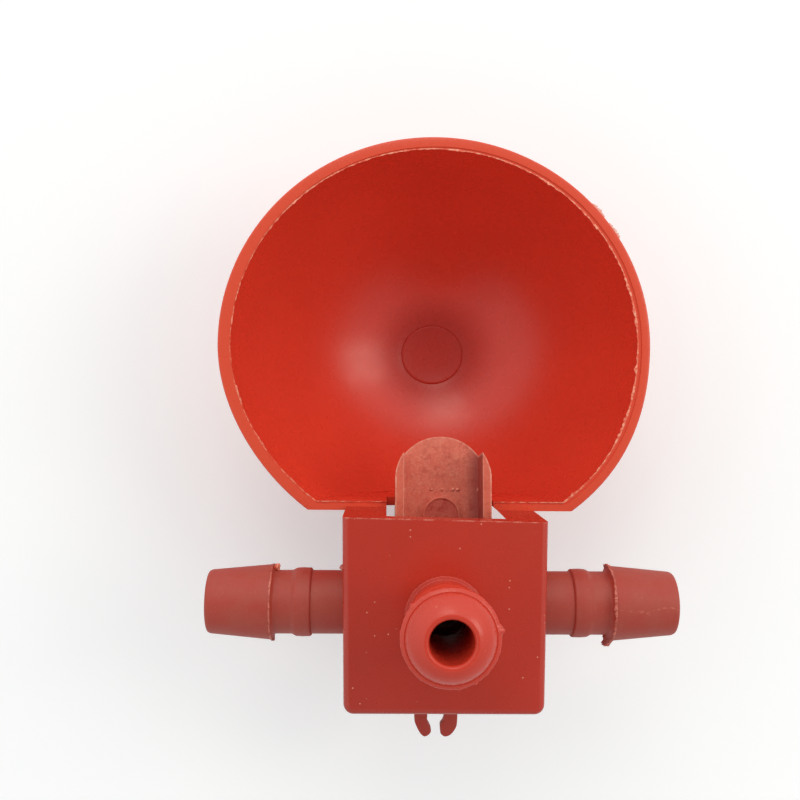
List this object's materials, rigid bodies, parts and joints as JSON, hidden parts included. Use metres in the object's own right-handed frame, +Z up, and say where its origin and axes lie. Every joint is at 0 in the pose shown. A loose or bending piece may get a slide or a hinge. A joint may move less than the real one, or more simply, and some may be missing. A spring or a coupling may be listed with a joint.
{
  "type": "poultry drinking cup",
  "caption": "Red moulded drinking cup for small poultry: round bowl, hood with hose barbs and nipple, and a rocking tongue that opens the valve.",
  "frame": {"origin": "middle of the flat foot under the bowl", "axes": "+Z up out of the bowl, +Y from the bowl to the hood and its clip, X along the hose line"},
  "size_m": [0.0582, 0.08, 0.053],
  "materials": {
    "red_moulding": "glossy orange red polyethylene",
    "dull_red_moulding": "dull pinkish red, slightly granular",
    "white_bush": "natural white",
    "black_rubber": "soft black",
    "pin_steel": "turned stainless steel"
  },
  "bodies": {
    "cup": {"cup_body": "red_moulding", "seat_bush": "white_bush", "seat_washer": "black_rubber"},
    "tongue": {"trigger_tongue": "dull_red_moulding"},
    "pin": {"valve_pin": "pin_steel"}
  },
  "joints": [
    {"name": "tongue_tilt", "type": "hinge", "parent": "cup", "child": "tongue", "pos_m": [0, 0.0253, 0.02842], "axis": [1, 0, 0], "range_deg": [0, 6]},
    {"name": "pin_lift", "type": "slide", "parent": "cup", "child": "pin", "axis": [0, 0, 1], "range_m": [0, 0.0007], "stiffness_N_per_m": 2, "springref_m": -0.001}
  ],
  "couplings": [
    {"joint": "tongue_tilt", "follows": "pin_lift", "rad_per_m": 149}
  ]
}
